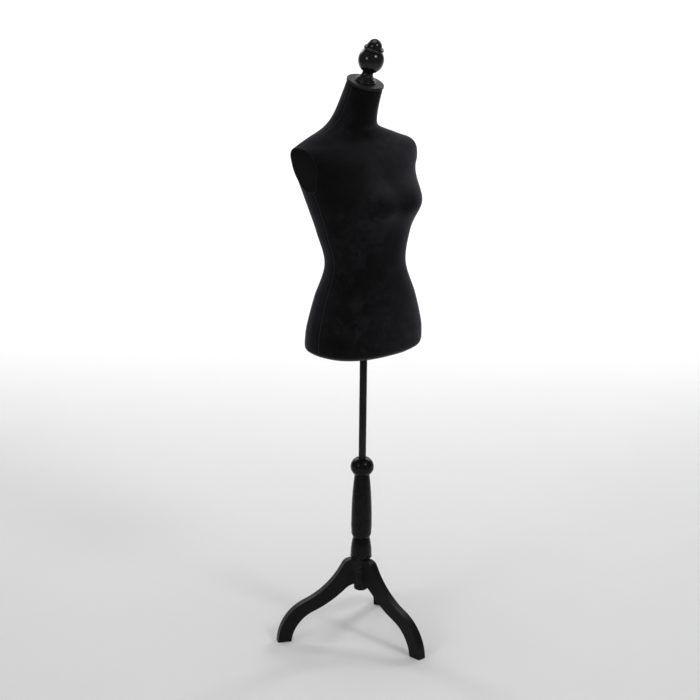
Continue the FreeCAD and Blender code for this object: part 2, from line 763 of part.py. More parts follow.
def arm_block(side, deeper):
    """Everything outside one arm plate's plane, moved inwards by a depth."""
    low = -size("arm_cut_depth")
    start = 0 if side > 0 else -FAR
    block = Part.makeBox(FAR, 2 * FAR, FAR, Vector(start, -FAR, low))
    turn = Rotation(Vector(0, 1, 0), side * size("arm_lean"))
    corner = Vector(side * (size("arm_x") - deeper), 0, size("arm_height"))
    block.Placement = Placement(corner, turn)
    return block


def stacked(section):
    """A solid through the section at every height, running a little past the hem and neck."""
    count = RINGS_PER_STATION * (len(STATIONS) - 1)
    sections = [section(i / RINGS_PER_STATION) for i in range(count + 1)]
    below, above = sections[0].copy(), sections[-1].copy()
    below.translate(UP * -size("overrun"))
    above.translate(neck_frame().Rotation.multVec(UP) * size("overrun"))
    return Part.makeLoft([below, *sections, above], True, True)


def torso_form(inset):
    """The torso's form at an inset, with its arms, hem and neck not yet cut flat."""
    return stacked(lambda position: outline_ring(position, inset))


def velvet_panel(start):
    """Half of the velvet cover, half a turn on from the starting angle."""
    return trim(stacked(lambda position: panel_section(position, start)))


def trim(form, arm_inset=0, hem_inset=0, neck_inset=0):
    """Cuts a form off flat at the arm plates, the hem and the neck, or inside those planes."""
    for side in (-1, 1):
        form = form.cut(arm_block(side, arm_inset))
    floor = size("hem_height") + hem_inset
    form = form.cut(Part.makeBox(2 * FAR, 2 * FAR, FAR, Vector(-FAR, -FAR, floor - FAR)))
    lid = Part.makeCylinder(FAR / 2, FAR)
    lid.Placement = neck_frame().multiply(Placement(Vector(0, 0, -neck_inset), Rotation()))
    return form.cut(lid)


def feature(name, shape):
    """A piece whose shape comes from Part's own functions."""
    piece = doc.addObject("Part::Feature", name)
    piece.Shape = shape
    piece.Placement = Placement()
    return piece


def neck_frame():
    """The middle of the neck's top face, with Z along the leaning neck."""
    middle = Vector(0, size("axis_y") + size("neck_top_middle"), size("neck_top_height"))
    return Placement(middle, Rotation(Vector(1, 0, 0), size("neck_top_lean")))


def socket_way():
    """The cutter for the socket tube's way through the shell's floor and the base board."""
    radius = number("{pole_radius} + {running_gap} + {socket_wall} + {board_bore_gap}")
    height = number("{board_rise} + {board_thickness} + 2 * {cutter_run}")
    start = Vector(0, size("axis_y"), number("{hem_height} - {cutter_run}"))
    return Part.makeCylinder(radius, height, start, UP)


def neck_ways():
    """The cutters for the finial's stud and the cap screws, through the shell's closed neck."""
    run = size("cutter_run")
    depth = size("wall") + 2 * run
    ways = [Part.makeCylinder(number("{finial_stud_radius} + {glue_gap}"), depth)]
    for angle in CAP_SCREW_ANGLES:
        way = Part.makeCylinder(number("{cap_screw_radius} + {glue_gap}"), depth)
        way.translate(round_axis(angle, "cap_screw_circle"))
        ways.append(way)
    for way in ways:
        way.translate(UP * (run - depth))
        way.Placement = neck_frame().multiply(way.Placement)
    return ways


def round_axis(angle, circle):
    """A point on a circle round the Z axis, at an angle in degrees."""
    return Rotation(UP, angle).multVec(Vector(size(circle), 0, 0))


def make_shell_and_cover():
    """The moulded shell, its two velvet panels and the two arm plates."""
    wall = size("wall")
    floor = size("board_rise")
    skin = size("cover") + size("cover_gap")
    lining = torso_form(skin + wall)
    hollow = trim(lining, wall, floor, wall)
    recess = trim(lining, wall).cut(trim(lining, wall, floor - wall))
    shell = trim(torso_form(skin)).cut(hollow).cut(recess).cut([socket_way(), *neck_ways()])
    plate = arm_plate(trim(torso_form(0)))
    return [
        feature("torso_shell", shell),
        feature("velvet_front", velvet_panel(math.pi)),
        feature("velvet_back", velvet_panel(0)),
        feature("arm_plate_left", plate),
        feature("arm_plate_right", plate.mirror(Vector(), Vector(1, 0, 0))),
    ]


def arm_plate(form):
    """The left arm plate: a flat board over the arm's cut face, with a raised rim."""
    lean = math.radians(size("arm_lean"))
    normal = Vector(math.cos(lean), 0, -math.sin(lean))
    flats = [f for f in form.Faces if isinstance(f.Surface, Part.Plane)]
    face = max(flats, key=lambda f: f.normalAt(0, 0).dot(normal))
    outline = face.OuterWire
    board = Part.Face(outline).extrude(normal * size("arm_plate"))
    inner = outline.copy()
    inner.scale(1 - 2 * size("arm_rim") / outline.BoundBox.ZLength, face.CenterOfMass)
    recess = Part.Face(inner).extrude(normal * size("arm_recess"))
    recess.translate(normal * (size("arm_plate") - size("arm_recess")))
    return board.cut(recess)


def make_base_board():
    """The board inside the torso's floor, bored for the socket tube."""
    inset = number("{cover} + {cover_gap} + {wall} + {board_gap}")
    outline = outline_ring(0, inset)
    outline.translate(UP * size("board_rise"))
    board = Part.Face(outline).extrude(UP * size("board_thickness"))
    return feature("base_board", board.cut(socket_way()))


def in_neck(thing):
    """Places a piece made round its own Z axis on the leaning neck."""
    thing.Placement = neck_frame()
    return thing


def neck_cylinder(name, radius, start, end):
    piece = doc.addObject("Part::Cylinder", name)
    bind(piece, "Radius", radius)
    bind(piece, "Height", f"{end} - ({start})")
    frame = neck_frame()
    piece.Placement = frame.multiply(Placement(Vector(0, 0, number(start)), Rotation()))
    return piece


def neck_turned(name, corners):
    body = turned(name, corners, ("0", "0", "0"))
    for axis in "xyz":
        body.setExpression(f"Placement.Base.{axis}", None)
    return in_neck(body)


def above_cap(alias, extra=""):
    return f"{{cap_thickness}} + {{{alias}}}{extra}"


def rounded_step(radius, top, curve):
    """The two corners where a step's upright side rounds over into its top."""
    return [
        (radius, above_cap(top, " - " + curve), curve, 1),
        (f"{radius} - {curve}", above_cap(top)),
    ]


def make_neck_pieces():
    """Plug, cap disc, stepped moulding, finial and their screws, all on the neck's axis."""
    hole = "{finial_stud_radius} + {glue_gap}"
    plug_blank = neck_cylinder(
        "neck_plug_blank",
        "{neck_plug_radius}",
        "-({wall} + {neck_plug_depth})",
        "-({wall} + {neck_plug_gap})",
    )
    plug_bore = neck_cylinder(
        "neck_plug_bore", hole, "-({wall} + {neck_plug_depth} + {cutter_run})", "{cutter_run}"
    )
    cap_outline = [
        (hole, "0"),
        ("{cap_radius} - {cap_bevel}", "0"),
        ("{cap_radius}", "{cap_bevel}"),
        ("{cap_radius}", "{cap_thickness} - {cap_round}", "{cap_round}", 1),
        ("{cap_radius} - {cap_round}", "{cap_thickness}"),
        (hole, "{cap_thickness}"),
    ]
    cap_blank = neck_turned("neck_cap_blank", cap_outline)
    screws, screw_holes = [], []
    for index, angle in enumerate(CAP_SCREW_ANGLES):
        screws.append(cap_screw(f"cap_screw_{index}", angle, 0, 0))
        hole_name = f"cap_screw_hole_{index}"
        screw_holes.append(cap_screw(hole_name, angle, size("glue_gap"), size("cap_screw_play")))
    plug = carve("neck_plug", plug_blank, [plug_bore, *screw_holes])
    cap = carve("neck_cap", cap_blank, [screw_hole_copy(tool) for tool in screw_holes])
    moulding = neck_turned("neck_moulding", [
        (hole, "{cap_thickness}"),
        ("{moulding_radius}", "{cap_thickness}"),
        *rounded_step("{moulding_radius}", "moulding_step", "{moulding_round}"),
        ("{moulding_second}", above_cap("moulding_step")),
        *rounded_step("{moulding_second}", "moulding_second_top", "{moulding_second_round}"),
        ("{moulding_third}", above_cap("moulding_second_top")),
        *rounded_step("{moulding_third}", "moulding_third_top", "{moulding_third_round}"),
        ("{finial_flare}", above_cap("moulding_third_top")),
        ("{finial_flare}", above_cap("moulding_top")),
        (hole, above_cap("moulding_top")),
    ])
    finial = neck_turned("finial", [
        (hole, above_cap("moulding_top")),
        ("{finial_flare}", above_cap("moulding_top"), "{cove_curve}", -1),
        ("{finial_neck}", above_cap("neck_end"), "{cove_curve}", -1),
        ("{ball_start_radius}", above_cap("ball_start"), "{ball_low_curve}", 1),
        ("{ball_radius}", above_cap("ball_height"), "{ball_high_curve}", 1),
        ("{ball_end_radius}", above_cap("ball_end")),
        ("{collar_face}", above_cap("ball_end"), "{collar_curve}", 1),
        ("{collar_face}", above_cap("collar_top")),
        ("{dome_radius}", above_cap("collar_top"), "{dome_curve}", 1),
        ("{finial_tip}", above_cap("finial_top")),
        ("0", above_cap("finial_top")),
        ("0", above_cap("finial_stud_high")),
        (hole, above_cap("finial_stud_high")),
    ])
    stud = neck_cylinder(
        "finial_stud",
        "{finial_stud_radius}",
        "-{finial_stud_low}",
        above_cap("finial_stud_high", " - {stud_play}"),
    )
    return [plug, cap, moulding, finial, stud, group("cap_screws", screws)]


def cap_screw(name, angle, gap, play):
    """A countersunk screw through the cap into the plug, or the hole for it, with a gap and play."""
    top = size("cap_thickness") - size("cap_screw_sink")
    head_radius = size("cap_screw_head") + gap
    shank_radius = size("cap_screw_radius") + gap
    cone = head_radius - shank_radius
    bottom = top - size("cap_screw_length") - play
    outline = [
        Vector(0, 0, bottom),
        Vector(shank_radius, 0, bottom),
        Vector(shank_radius, 0, top - cone),
        Vector(head_radius, 0, top),
    ]
    if play:
        outline.append(Vector(head_radius, 0, top + play))
    outline.append(Vector(0, 0, top + play))
    screw = Part.Face(Part.makePolygon(outline + [outline[0]])).revolve(Vector(), UP, 360)
    piece = doc.addObject("Part::Feature", name)
    piece.Shape = screw
    piece.Placement = neck_frame().multiply(Placement(round_axis(angle, "cap_screw_circle"), Rotation()))
    return piece


def screw_hole_copy(tool):
    """A second copy of a screw hole, because each boolean holds its own tools."""
    copy = doc.addObject("Part::Feature", tool.Name + "_in_cap")
    copy.Shape = tool.Shape
    return copy


FLANGE_BOTTOM = "{hem_height} + {board_rise} - {wall} - {flange_thickness}"


def make_socket():
    """The flanged socket tube under the torso, its screws and the thrust pad in its top."""
    inner = "{pole_radius} + {running_gap}"
    outer = inner + " + {socket_wall}"
    bottom = FLANGE_BOTTOM
    pad_at = "{pole_top} + {plug_flange} + {thrust_gap}"
    height = f"{pad_at} + {{pad_thickness}} + {{socket_wall}} - ({bottom})"
    flange = cylinder("socket_flange", "{flange_radius}", "{flange_thickness}", on_axis(bottom))
    outside = cylinder("socket_outside", outer, height, on_axis(bottom))
    bore_height = f"{pad_at} + {{pad_thickness}} - ({bottom}) + {{cutter_run}}"
    bore = cylinder("socket_bore", inner, bore_height, on_axis(bottom + " - {cutter_run}"))
    screws = []
    for index, angle in enumerate(FLANGE_SCREW_ANGLES):
        head_at = flange_place(angle, bottom + " - {flange_head_height}")
        head = cylinder(f"flange_head_{index}", "{flange_screw_head}", "{flange_head_height}", head_at)
        shank_at = flange_place(angle, bottom)
        shank = cylinder(
            f"flange_shank_{index}", "{flange_screw_radius}", "{flange_screw_length}", shank_at
        )
        screws.append(fuse(f"flange_screw_{index}", [head, shank]))
    whole = fuse("socket_body", [flange, outside])
    socket = carve("socket_tube", whole, [bore, *screw_ways("socket_tube")])
    pad = cylinder("thrust_pad", "{pole_radius}", "{pad_thickness}", on_axis(pad_at))
    return [socket, pad, group("flange_screws", screws)]


def flange_place(angle, height):
    """A point on the circle of the flange screws."""
    across = f"{{flange_circle}} * cos({angle}deg)"
    deep = f"{{axis_y}} + {{flange_circle}} * sin({angle}deg)"
    return (across, deep, height)


def screw_ways(name):
    """The cutters for the flange screws' holes in a piece."""
    return [
        cylinder(
            f"{name}_screw_way_{index}",
            "{flange_screw_radius} + {glue_gap}",
            "{flange_screw_length} + 2 * {cutter_run}",
            flange_place(angle, FLANGE_BOTTOM + " - {cutter_run}"),
        )
        for index, angle in enumerate(FLANGE_SCREW_ANGLES)
    ]


# ---------------------------------------------------------------- checking and writing


def check_document():
    """Stops if any object of the document is broken."""
    for item in doc.Objects:
        if "Invalid" in item.State or "Error" in item.State:
            raise RuntimeError(f"{item.Name} is {item.State}")


def write(pieces):
    os.makedirs("parts", exist_ok=True)
    for piece, name in pieces:
        shape = piece.Shape
        if shape.isNull() or not shape.isValid():
            raise RuntimeError(f"{name} has no valid shape")
        shape.exportStep(f"parts/{name}.step")
        box = shape.BoundBox
        print(
            f"{name:18s} solids {len(shape.Solids)} volume {shape.Volume / 1000:9.1f} cm3"
            f"  x {box.XMin:7.1f} {box.XMax:7.1f}  y {box.YMin:7.1f} {box.YMax:7.1f}"
            f"  z {box.ZMin:7.1f} {box.ZMax:7.1f}"
        )


def main():
    fill_sheet()
    pieces = [make_column(), make_sleeve(), make_hub()]
    pieces += make_clamp()
    pieces += make_pole()
    pieces += [make_leg(*leg) for leg in LEGS]
    pieces += make_fasteners()
    pieces += make_neck_pieces()
    pieces += make_socket()
    shell, *covers = make_shell_and_cover()
    board = make_base_board()
    shell.Label = "torso_shell_blank"
    board.Label = "base_board_blank"
    bored_shell = carve("torso_shell_bored", shell, screw_ways("torso_shell"))
    bored_board = carve("base_board_bored", board, screw_ways("base_board"))
    pieces += covers
    doc.recompute()
    check_document()
    bored_shell.Label = "torso_shell"
    bored_board.Label = "base_board"
    pieces += [bored_shell, bored_board]
    write([(piece, piece.Label) for piece in pieces])


main()
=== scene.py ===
"""The looks of a dress form mannequin: black velvet torso, gloss black finial, turned wooden stand.

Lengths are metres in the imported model's frame: Z up along the pole, -Y the way the torso faces,
+X the torso's own left. Tables in millimetres say so.
"""

import math

import bmesh
import bpy
import numpy as np
from mathutils import Matrix, Vector


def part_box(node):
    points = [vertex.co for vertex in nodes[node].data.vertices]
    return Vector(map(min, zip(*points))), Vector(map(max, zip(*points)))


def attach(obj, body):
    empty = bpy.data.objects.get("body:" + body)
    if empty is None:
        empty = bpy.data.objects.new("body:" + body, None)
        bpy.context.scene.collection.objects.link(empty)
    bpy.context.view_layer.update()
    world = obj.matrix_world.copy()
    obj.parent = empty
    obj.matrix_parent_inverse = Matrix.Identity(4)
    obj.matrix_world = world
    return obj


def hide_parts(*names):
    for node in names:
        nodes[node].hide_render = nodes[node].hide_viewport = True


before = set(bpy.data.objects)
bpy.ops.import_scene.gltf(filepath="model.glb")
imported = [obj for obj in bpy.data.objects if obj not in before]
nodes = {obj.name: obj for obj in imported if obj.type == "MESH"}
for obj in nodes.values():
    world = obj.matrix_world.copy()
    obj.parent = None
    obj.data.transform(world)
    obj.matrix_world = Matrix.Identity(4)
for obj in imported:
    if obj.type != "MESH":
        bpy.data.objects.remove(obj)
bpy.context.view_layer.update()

MM = 0.001
POLE_LOW, POLE_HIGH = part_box("pole")
AXIS = (POLE_LOW + POLE_HIGH) / 2

# The torso's sections from the hem up, in millimetres. Height is above the floor, and middle is how
# far a section's middle lies behind the pole's axis. Squareness is a superellipse's power, and lean
# is the section's forward tilt in degrees.
STATION_COLUMNS = ("height", "half_width", "half_depth", "middle", "squareness", "lean")
STATIONS = (
    ("hem", 814, 146, 105, 6, 2.5, 0),
    ("hem_turn", 827, 164, 117, 2, 2.5, 0),
    ("seat", 855, 167, 117, 0, 2.5, 0),
    ("hips", 890, 164, 114, -1, 2.45, 0),
    ("belly", 960, 146, 105, -2, 2.3, 0),
    ("waistline", 1046, 116, 90, -2, 2.15, 0),
    ("ribs", 1130, 133, 101, 6, 2.2, 0),
    ("bust", 1215, 162, 115, 12, 2.3, 0),
    ("chest", 1275, 183, 96, 31, 2.4, 0),
    ("armhole", 1315, 201, 84, 37, 2.4, 0),
    ("shoulder", 1344, 212, 67, 44, 2.3, 0),
    ("shoulder_top", 1367, 160, 58, 57, 2.1, 0),
    ("neck_root", 1392, 92, 53, 53, 2, 6),
    ("neck_base", 1418, 61, 54, 42, 2, 12),
    ("neck_middle", 1460, 51, 50, 26, 2, 17),
    ("neck_top", 1508, 47, 47, 7, 2, 18.5),
)

# The bust in millimetres; its valley is a share of the projection.
BUST_PROJECTION = 36
BUST_APEX = 1216
BUST_WIDTH = 128
BUST_VALLEY = 0.22
BUST_VALLEY_WIDTH = 38
BUST_RISE = 52

# The planes that cut the arms off, in metres.
ARM_PLANE_X = 0.178
ARM_PLANE_Z = 1.290
ARM_CUT_DEPTH = 0.095
ARM_LEAN = math.radians(7.4)

# The velvet's grid of points, closer together by its seams. Its rows are a step apart in
# millimetres, which is measured with a number of samples between stations.
ROW_STEP = 2.4
ROW_SAMPLES = 30
COLUMNS = 190
SEAM_CROWDING = 0.86

# The seam's dip, the puff beside it and the reach of the painted sheen along it, in millimetres.
SEAM_DEPTH = 0.9
SEAM_WIDTH = 1.5
SEAM_PUFF = 0.45
SEAM_PUFF_WIDTH = 3.2
SEAM_SHEEN_WIDTH = 4.0

# The hem's turned edge: millimetres in from the cloth's lowest row, then millimetres down.
HEM_TURN = ((0.5, 0.35), (2.5, 0.5), (6, 0.4), (11, 0.2))

# An arm's edge is cut from a grid of this many columns and evened out into this many points.
LOOP_COLUMNS = 360
LOOP_POINTS = 180
LOOP_SMOOTHINGS = 6


def smooth_column(column, position):
    """A station column's values at positions counted in stations, on a smooth curve."""
    values = np.array([station[1 + STATION_COLUMNS.index(column)] for station in STATIONS], float)
    last = len(values) - 1
    low = np.clip(np.floor(position).astype(int), 0, last - 1)
    share = position - low
    before, start, end, after = (values[np.clip(low + step, 0, last)] for step in (-1, 0, 1, 2))
    leaving = (end - before) / 2
    arriving = (after - start) / 2
    return (
        start
        + share * leaving
        + share**2 * (3 * (end - start) - 2 * leaving - arriving)
        + share**3 * (2 * (start - end) + leaving + arriving)
    )


def outline(position, angle):
    """Points of the torso's surface in millimetres, at angles from the torso's left."""
    height, half_width, half_depth, middle, squareness, lean = (
        smooth_column(column, position) for column in STATION_COLUMNS
    )
    power = 2 / squareness
    cosine, sine = np.cos(angle), np.sin(angle)
    across = half_width * np.sign(cosine) * np.abs(cosine) ** power
    deep = half_depth * np.sign(sine) * np.abs(sine) ** power
    rise = np.exp(-(((height - BUST_APEX) / BUST_RISE) ** 2))
    sides = np.exp(-((across / BUST_WIDTH) ** 4))
    valley = 1 - BUST_VALLEY * np.exp(-((across / BUST_VALLEY_WIDTH) ** 2))
    deep = deep - (deep < 0) * BUST_PROJECTION * rise * sides * valley * np.sqrt(np.abs(sine))
    lean = np.radians(lean)
    return np.stack([across, middle + deep * np.cos(lean), height + deep * np.sin(lean)], axis=-1)


def outward(position, angle):
    """Outward unit normals of the torso's surface."""
    step = 0.01
    last = len(STATIONS) - 1
    around = outline(position, angle + step) - outline(position, angle - step)
    upper = outline(np.clip(position + step, 0, last), angle)
    lower = outline(np.clip(position - step, 0, last), angle)
    normal = np.cross(around, upper - lower)
    return normal / np.linalg.norm(normal, axis=-1, keepdims=True)


def row_positions():
    """Positions in stations, a row step apart on the torso's surface."""
    rows = [0.0]
    for index in range(len(STATIONS) - 1):
        shares = np.linspace(index, index + 1, ROW_SAMPLES)
        sides = (0.0, -math.pi / 2, math.pi / 2)
        paths = [outline(shares, np.full(ROW_SAMPLES, angle)) for angle in sides]
        length = max(np.linalg.norm(np.diff(path, axis=0), axis=-1).sum() for path in paths)
        steps = max(2, math.ceil(length / ROW_STEP))
        rows += [index + (step + 1) / steps for step in range(steps)]
    return np.array(rows)


def in_frame(points):
    """Millimetres from the pole's axis to metres in the model's frame."""
    return points * MM + np.array([AXIS.x, AXIS.y, 0.0])


def mesh_object(name, vertices, faces):
    """A smooth-shaded mesh object."""
    mesh = bpy.data.meshes.new(name)
    mesh.from_pydata([tuple(v) for v in vertices], [], faces)
    mesh.validate()
    piece = bpy.data.objects.new(name, mesh)
    bpy.context.scene.collection.objects.link(piece)
    mesh.polygons.foreach_set("use_smooth", [True] * len(mesh.polygons))
    return piece


def grid_faces(rows, columns, closed=False):
    """Quads of a grid of points, in rows; a closed grid joins each row's end to its start."""
    faces = []
    for row in range(rows - 1):
        for column in range(columns if closed else columns - 1):
            after = (column + 1) % columns
            low, high = row * columns, (row + 1) * columns
            faces.append((low + column, low + after, high + after, high + column))
    return faces


def arm_plane(side):
    """A point on an arm's cut plane and the plane's outward normal."""
    point = Vector((AXIS.x + side * ARM_PLANE_X, AXIS.y, ARM_PLANE_Z))
    return point, Vector((side * math.cos(ARM_LEAN), 0, -math.sin(ARM_LEAN)))


def cut_arms(shape):
    """Cuts a bmesh off at both arm planes and returns the edges of each cut."""
    cuts = {}
    for side in (-1, 1):
        point, normal = arm_plane(side)
        floor = ARM_PLANE_Z - ARM_CUT_DEPTH
        near = [
            face
            for face in shape.faces
            if face.calc_center_median().z > floor and side * face.calc_center_median().x > 0
        ]
        edges = [edge for face in near for edge in face.edges]
        corners = [corner for face in near for corner in face.verts]
        done = bmesh.ops.bisect_plane(
            shape,
            geom=list(dict.fromkeys(near + edges + corners)),
            plane_co=point,
            plane_no=normal,
            clear_outer=True,
        )
        cuts[side] = [e for e in done["geom_cut"] if isinstance(e, bmesh.types.BMEdge)]
    return cuts


def velvet_panel(name, node, start):
    """Half of the velvet cover: cut at the arms, dipped at its seams, turned under at the hem."""
    position = row_positions()
    share = np.linspace(0, 1, COLUMNS)
    turn = share - SEAM_CROWDING * np.sin(2 * math.pi * share) / (2 * math.pi)
    angle = start + math.pi * turn
    rows, columns = np.meshgrid(position, angle, indexing="ij")
    points = outline(rows, columns)
    steps = np.linalg.norm(np.diff(points, axis=1), axis=-1)
    run = np.concatenate([np.zeros((len(position), 1)), np.cumsum(steps, axis=1)], axis=1)
    seam = np.minimum(run, run[:, -1:] - run)
    dip = SEAM_DEPTH * np.exp(-((seam / SEAM_WIDTH) ** 2))
    dip -= SEAM_PUFF * np.exp(-(((seam - 2 * SEAM_PUFF_WIDTH) / SEAM_PUFF_WIDTH) ** 2))
    normals = outward(rows, columns)
    cloth = points - normals * dip[..., None]
    under = []
    inward = np.array([np.cos(angle), np.sin(angle), np.zeros_like(angle)]).T
    for inset, drop in HEM_TURN:
        under.append(cloth[0] - inward * inset - np.array([0, 0, drop]))
    sheet = np.concatenate([np.array(under[::-1]), cloth])
    piece = mesh_object(name, in_frame(sheet).reshape(-1, 3), grid_faces(len(sheet), COLUMNS))
    # How near each point lies to a seam, which sets where the velvet gets a painted sheen along its
    # seams.
    marks = np.concatenate([np.repeat(seam[:1], len(under), axis=0), seam]).reshape(-1)
    mark = piece.data.attributes.new("seam", "FLOAT", "POINT")
    mark.data.foreach_set("value", np.exp(-((marks / SEAM_SHEEN_WIDTH) ** 2)))
    shape = bmesh.new()
    shape.from_mesh(piece.data)
    cut_arms(shape)
    shape.to_mesh(piece.data)
    shape.free()
    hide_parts(node)
    return piece


def arm_loop(side):
    """Evenly spaced points round the edge of an arm's cut, as rows of x, y, z."""
    position = row_positions()
    angle = np.linspace(0, 2 * math.pi, LOOP_COLUMNS, endpoint=False)
    rows, columns = np.meshgrid(position, angle, indexing="ij")
    points = in_frame(outline(rows, columns)).reshape(-1, 3)
    shape = bmesh.new()
    corners = [shape.verts.new(point) for point in points]
    for face in grid_faces(len(position), len(angle), closed=True):
        shape.faces.new([corners[corner] for corner in face])
    edges = cut_arms(shape)[side]
    after = {}
    for edge in edges:
        for corner, other in (edge.verts, reversed(edge.verts)):
            after.setdefault(corner, []).append(other)
    walk = [edges[0].verts[0]]
    seen = {walk[0]}
    while True:
        ahead = [corner for corner in after[walk[-1]] if corner not in seen]
        if not ahead:
            break
        walk.append(ahead[0])
        seen.add(ahead[0])
    path = np.array([tuple(corner.co) for corner in walk])
    shape.free()
    closed = np.vstack([path, path[:1]])
    run = np.concatenate([[0], np.cumsum(np.linalg.norm(np.diff(closed, axis=0), axis=1))])
    places = np.linspace(0, run[-1], LOOP_POINTS, endpoint=False)
    loop = np.stack([np.interp(places, run, closed[:, axis]) for axis in range(3)], axis=1)
    for _ in range(LOOP_SMOOTHINGS):
        loop = (np.roll(loop, 1, axis=0) + 2 * loop + np.roll(loop, -1, axis=0)) / 4
    return loop


# An arm plate's section from its edge inwards: millimetres in from the cut's edge, then
# millimetres out from the cut's plane.
PIPING_SECTION = (
    (-0.2, -2.5),
    (-0.5, 0.6),
    (-0.3, 2.4),
    (0.7, 3.8),
    (2.0, 4.1),
    (3.1, 3.4),
    (3.6, 2.2),
    (3.7, 0.8),
)
PAD_SECTION = ((3.3, 1.4), (4.2, 2.0), (6.0, 2.3), (9.0, 2.5))

# The middle of the pad: its section's last ring shrunk to a share, then millimetres out.
PAD_CROWN = ((0.8, 2.7), (0.6, 2.9), (0.4, 3.1), (0.2, 3.2), (0.05, 3.2))


def arm_plate(side, name):
    """One arm plate: a velvet piping round the cut and the covered board inside it."""
    loop = arm_loop(side)
    count = len(loop)
    normal = np.array(arm_plane(side)[1])
    middle = loop.mean(axis=0)
    along = np.roll(loop, -1, axis=0) - np.roll(loop, 1, axis=0)
    inward = np.cross(normal, along)
    inward /= np.linalg.norm(inward, axis=1, keepdims=True)
    if ((middle - loop) * inward).sum() < 0:
        inward = -inward
    clockwise = np.cross(loop[0] - middle, along[0]).dot(normal) < 0

    def ring(inset, height):
        return loop + inward * inset * MM + normal * height * MM

    def shrunk(share, height):
        base = ring(*PAD_SECTION[-1])
        centre = base.mean(axis=0)
        lift = (height - PAD_SECTION[-1][1]) * MM
        return centre + (base - centre) * share + normal * lift

    def lofted(label, rings, filled):
        faces = grid_faces(len(rings), count, closed=True)
        if filled:
            faces.append(tuple((len(rings) - 1) * count + step for step in range(count)))
        if clockwise:
            faces = [face[::-1] for face in faces]
        piece = mesh_object(label, np.concatenate(rings), faces)
        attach(piece, "torso")
        return piece

    lofted(f"arm_piping_{name}", [ring(*at) for at in PIPING_SECTION], False)
    pad_rings = [ring(*at) for at in PAD_SECTION] + [shrunk(*at) for at in PAD_CROWN]
    pad = lofted(f"arm_pad_{name}", pad_rings, True)
    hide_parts(f"arm_plate_{name}")


def declare_cloth(start):
    """Works out the points of a velvet panel in the model's frame, and does nothing further with
    them.
    """
    angle = start + math.pi * np.linspace(0, 1, COLUMNS)
    rows, columns = np.meshgrid(row_positions(), angle, indexing="ij")
    points = in_frame(outline(rows, columns))


# Materials. Noise scales are in features a metre and bump distances in metres.

# The colour sockets of a mix node, which share their names with its other sockets.
MIX_SHARE = 0
MIX_FIRST = 6
MIX_SECOND = 7
MIX_RESULT = 2

# How a material's grain lies: the scale that stretches it along one direction.
UPRIGHT = (1, 1, 0.05)
LYING = (1, 0.05, 1)
ALONG_BOARD = (0.06, 1, 1)
ALONG_TUBE = (1, 1, 0.02)
RUBBED_DOWN = (1, 1, 0.25)
HANGING = (1, 1, 0.3)

NAP_TINT = (1, 0.97, 1.05)
LIT_NAP_TINT = (1, 0.97, 1.12)
STREAK_TINT = (1, 0.98, 0.96)


def add(tree, kind, inputs=None, **settings):
    """A shader node with its settings, and its inputs set or linked by socket name or number."""
    made = tree.nodes.new("ShaderNode" + kind)
    for key, value in settings.items():
        setattr(made, key, value)
    for key, value in (inputs or {}).items():
        if isinstance(value, bpy.types.NodeSocket):
            tree.links.new(value, made.inputs[key])
        else:
            made.inputs[key].default_value = value
    return made


def new_material(name, **constants):
    """A material with its principled shader's constant sockets set."""
    material = bpy.data.materials.new(name)
    material.use_nodes = True
    tree = material.node_tree
    shader = tree.nodes["Principled BSDF"]
    for key, value in constants.items():
        shader.inputs[key.replace("_", " ").title().replace("Ior", "IOR")].default_value = value
    return material, tree, shader


def object_place(tree, scale=(1, 1, 1), turn=0.0):
    """The piece's own coordinates, turned about Z and scaled."""
    where = add(tree, "TexCoord").outputs["Object"]
    turned = add(tree, "Mapping", {"Vector": where, "Rotation": (0, 0, turn)})
    return add(tree, "Mapping", {"Vector": turned.outputs[0], "Scale": scale}).outputs[0]


def noise(tree, place, scale, detail=3.0, roughness=0.5, distortion=0.0):
    """Grey noise at a scale in features a metre."""
    settings = {
        "Vector": place,
        "Scale": scale,
        "Detail": detail,
        "Roughness": roughness,
        "Distortion": distortion,
    }
    return add(tree, "TexNoise", settings).outputs["Fac"]


def spread(tree, value, low, high, start=0.0, end=1.0):
    """A grey value mapped from one range onto another."""
    settings = {"Value": value, "From Min": low, "From Max": high, "To Min": start, "To Max": end}
    return add(tree, "MapRange", settings).outputs["Result"]


def both(tree, first, second):
    """The product of two grey values."""
    return add(tree, "Math", {0: first, 1: second}, operation="MULTIPLY").outputs[0]


def blended(tree, share, first, second):
    """A colour between two, by a grey share."""
    made = add(tree, "Mix", data_type="RGBA")
    for socket, value in ((MIX_SHARE, share), (MIX_FIRST, first), (MIX_SECOND, second)):
        if isinstance(value, bpy.types.NodeSocket):
            tree.links.new(value, made.inputs[socket])
        else:
            made.inputs[socket].default_value = value
    return made.outputs[MIX_RESULT]


def bump(tree, height, distance, strength=1.0, below=None):
    """A bump in metres on top of another one."""
    settings = {"Height": height, "Distance": distance, "Strength": strength}
    if below is not None:
        settings["Normal"] = below
    return add(tree, "Bump", settings).outputs[0]


def grey(value, tint=(1, 1, 1)):
    """A nearly neutral colour."""
    return (value * tint[0], value * tint[1], value * tint[2], 1)


def shade(colour, share=1.0):
    """A colour made darker or lighter by a share."""
    return (*[channel * share for channel in colour], 1)


